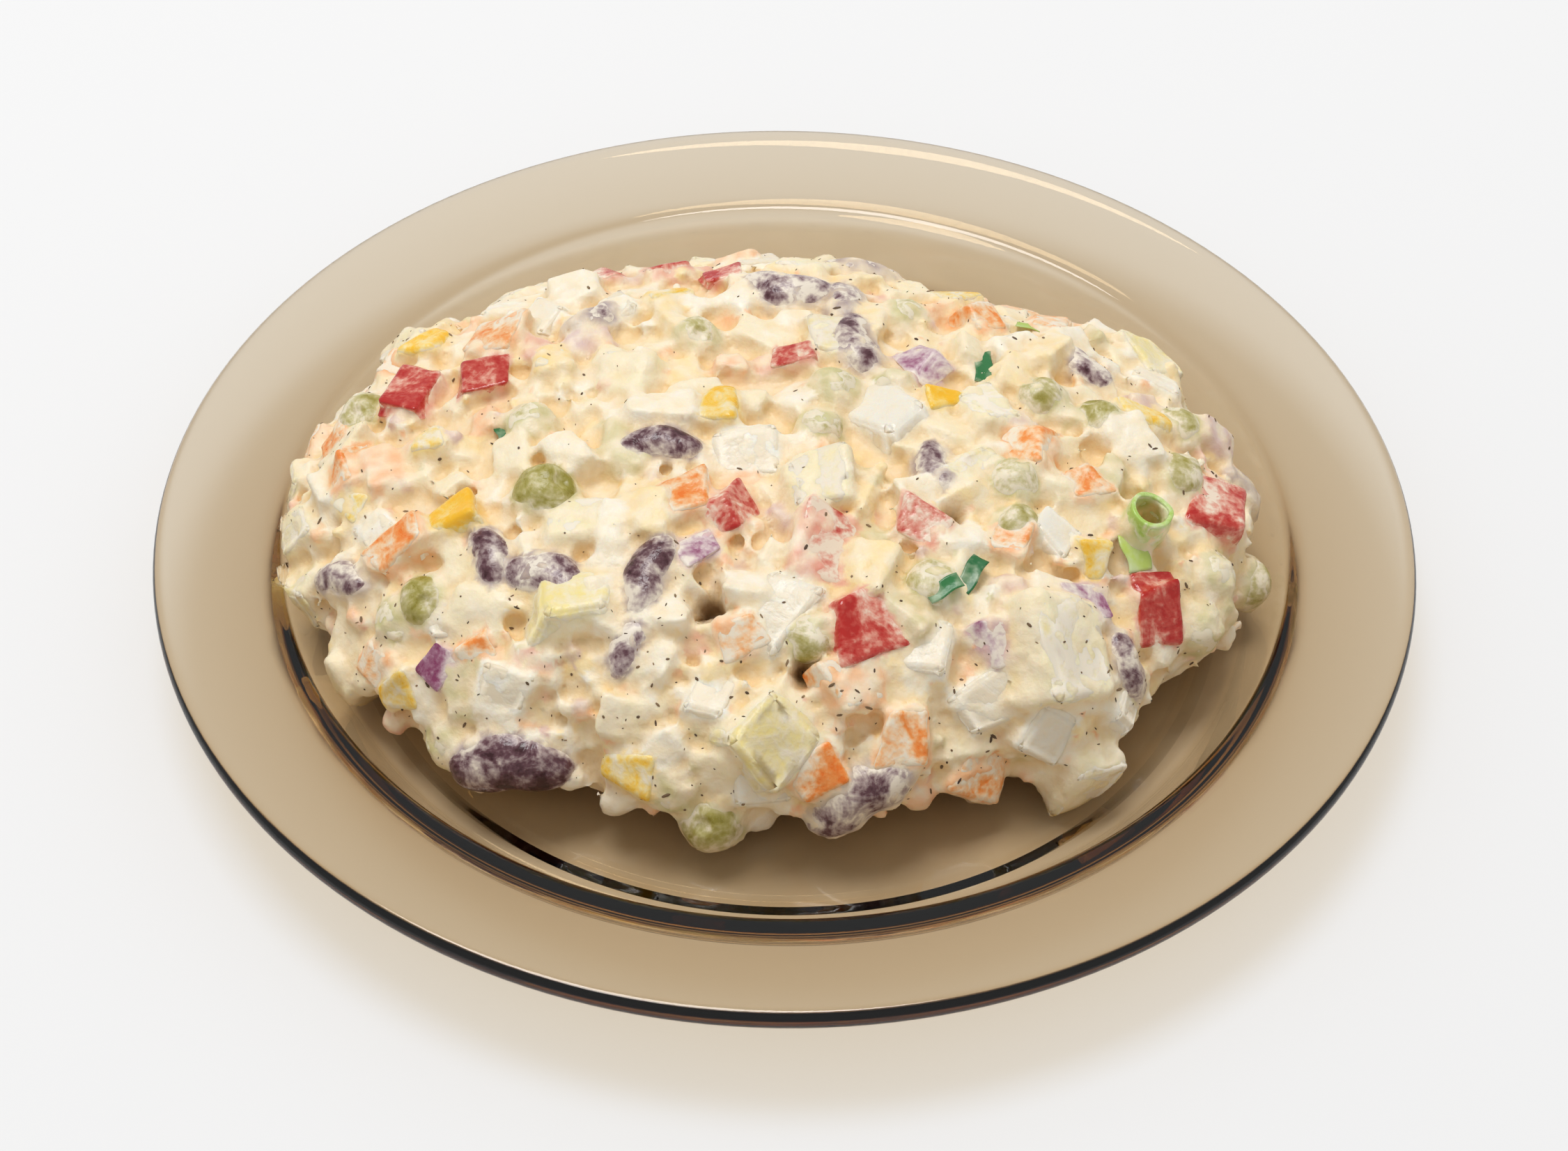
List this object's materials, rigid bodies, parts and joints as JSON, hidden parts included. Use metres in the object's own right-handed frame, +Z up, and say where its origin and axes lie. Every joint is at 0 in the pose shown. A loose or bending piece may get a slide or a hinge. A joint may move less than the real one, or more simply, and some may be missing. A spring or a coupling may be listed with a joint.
{
  "type": "olivier salad",
  "caption": "Diced potato salad with peas, kidney beans, corn and egg in mayonnaise, heaped on a shallow smoked glass plate.",
  "frame": {"origin": "on the plate's axis, in the plane that its foot stands on", "axes": "+Z up along the plate's axis, -Y towards the viewer, +X to the viewer's right"},
  "size_m": [0.195, 0.195, 0.0388],
  "materials": {
    "smoked_glass": "clear, polished, smoked brown",
    "dressed_salad": "moist, creamy"
  },
  "bodies": {
    "root": {"plate": "smoked_glass", "salad": "dressed_salad"}
  },
  "joints": []
}
